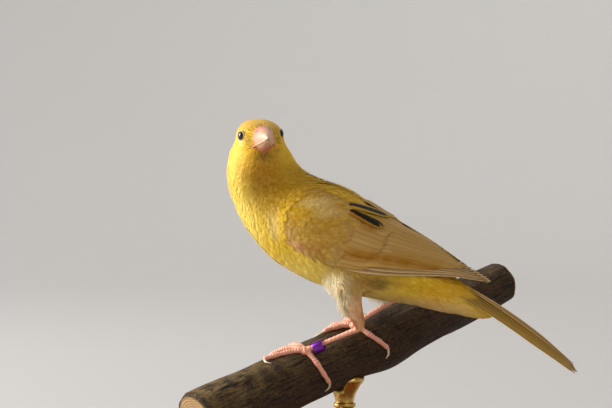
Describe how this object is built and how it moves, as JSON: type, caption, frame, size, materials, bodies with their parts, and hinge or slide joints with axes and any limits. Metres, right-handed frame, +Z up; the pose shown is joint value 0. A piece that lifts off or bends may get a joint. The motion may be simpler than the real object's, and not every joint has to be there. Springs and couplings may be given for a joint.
{
  "type": "canary display model",
  "caption": "Life-size still model of a yellow canary looking back over its shoulder, gripping a cut branch held by a round stand with a rod.",
  "frame": {"origin": "middle of the stand base's flat underside", "axes": "+Z up, -X the way the bird's breast faces, -Y its left side"},
  "size_m": [0.1302, 0.1054, 0.1269],
  "materials": {
    "plumage": "soft matt yellow body feathers, paler on the breast",
    "wing_feathers": "golden wing feathers with pale edges and dark tertials",
    "tail_feathers": "buff tail feathers with pale edges",
    "beak": "pink horn, slightly glossy",
    "eye": "wet black",
    "leg_skin": "salmon-pink scaled skin",
    "claw": "pale horn",
    "ring_metal": "purple anodised",
    "bark": "dark wrinkled bark with pale sawn ends",
    "stand_wood": "turned and waxed hardwood",
    "stand_brass": "satin brass"
  },
  "bodies": {
    "root": {"torso": "plumage", "neck": "plumage", "head": "plumage", "thigh_left": "plumage", "thigh_right": "plumage", "wing_left": "wing_feathers", "wing_right": "wing_feathers", "tail": "tail_feathers", "beak_upper": "beak", "beak_lower": "beak", "eye_left": "eye", "eye_right": "eye", "tarsus_left": "leg_skin", "tarsus_right": "leg_skin", "foot_left": "leg_skin", "foot_right": "leg_skin", "claw_left_hallux": "claw", "claw_left_inner": "claw", "claw_left_middle": "claw", "claw_left_outer": "claw", "claw_right_hallux": "claw", "claw_right_inner": "claw", "claw_right_middle": "claw", "claw_right_outer": "claw", "leg_ring": "ring_metal", "perch": "bark", "stand_base": "stand_wood", "stand_rod": "stand_brass"}
  },
  "joints": []
}
